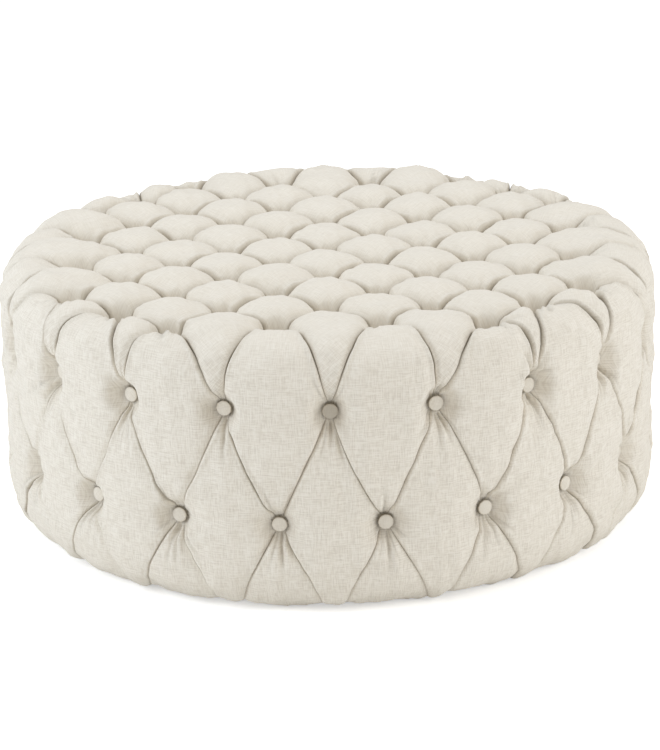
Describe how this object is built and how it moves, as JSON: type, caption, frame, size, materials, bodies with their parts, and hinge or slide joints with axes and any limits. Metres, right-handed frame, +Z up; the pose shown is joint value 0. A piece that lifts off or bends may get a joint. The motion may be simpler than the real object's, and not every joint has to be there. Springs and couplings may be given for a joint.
{
  "type": "ottoman coffee table",
  "caption": "Round button-tufted upholstered ottoman coffee table with diamond-tufted top, pleated side and a hidden timber frame.",
  "frame": {"origin": "on the floor under the middle of the ottoman, in the plane of the glides' faces", "axes": "+Z up, -Y towards the viewer, +X to the viewer's right"},
  "size_m": [1.016, 1.016, 0.4201],
  "materials": {
    "linen": "plain-woven linen-look upholstery cloth",
    "button_linen": "the same cloth drawn over metal shells",
    "foam": "matte open-cell foam",
    "twine": "waxed tufting twine",
    "plywood": "raw sanded plywood",
    "pine": "raw planed pine",
    "hardboard": "raw hardboard",
    "nylon": "moulded nylon",
    "cambric": "black cambric",
    "zinc_steel": "zinc-plated steel"
  },
  "bodies": {
    "root": {"base_ring": "plywood", "base_screws": "zinc_steel", "batten_left": "pine", "batten_right": "pine", "batten_screws": "zinc_steel", "crown_buttons": "button_linen", "crown_ties": "twine", "deck": "plywood", "deck_screws": "zinc_steel", "deck_toggles": "nylon", "dust_cover": "cambric", "dust_cover_tacks": "zinc_steel", "glides": "nylon", "hem_tacks": "zinc_steel", "lower_side_buttons": "button_linen", "lower_side_ties": "twine", "post_1": "pine", "post_2": "pine", "post_3": "pine", "post_4": "pine", "post_5": "pine", "post_6": "pine", "post_7": "pine", "post_8": "pine", "rim_buttons": "button_linen", "rim_ties": "twine", "side_foam": "foam", "top_foam": "foam", "tufted_side": "linen", "tufted_top": "linen", "upper_side_buttons": "button_linen", "upper_side_ties": "twine", "wall_left": "hardboard", "wall_nails": "zinc_steel", "wall_right": "hardboard", "wall_toggles": "nylon"}
  },
  "joints": []
}
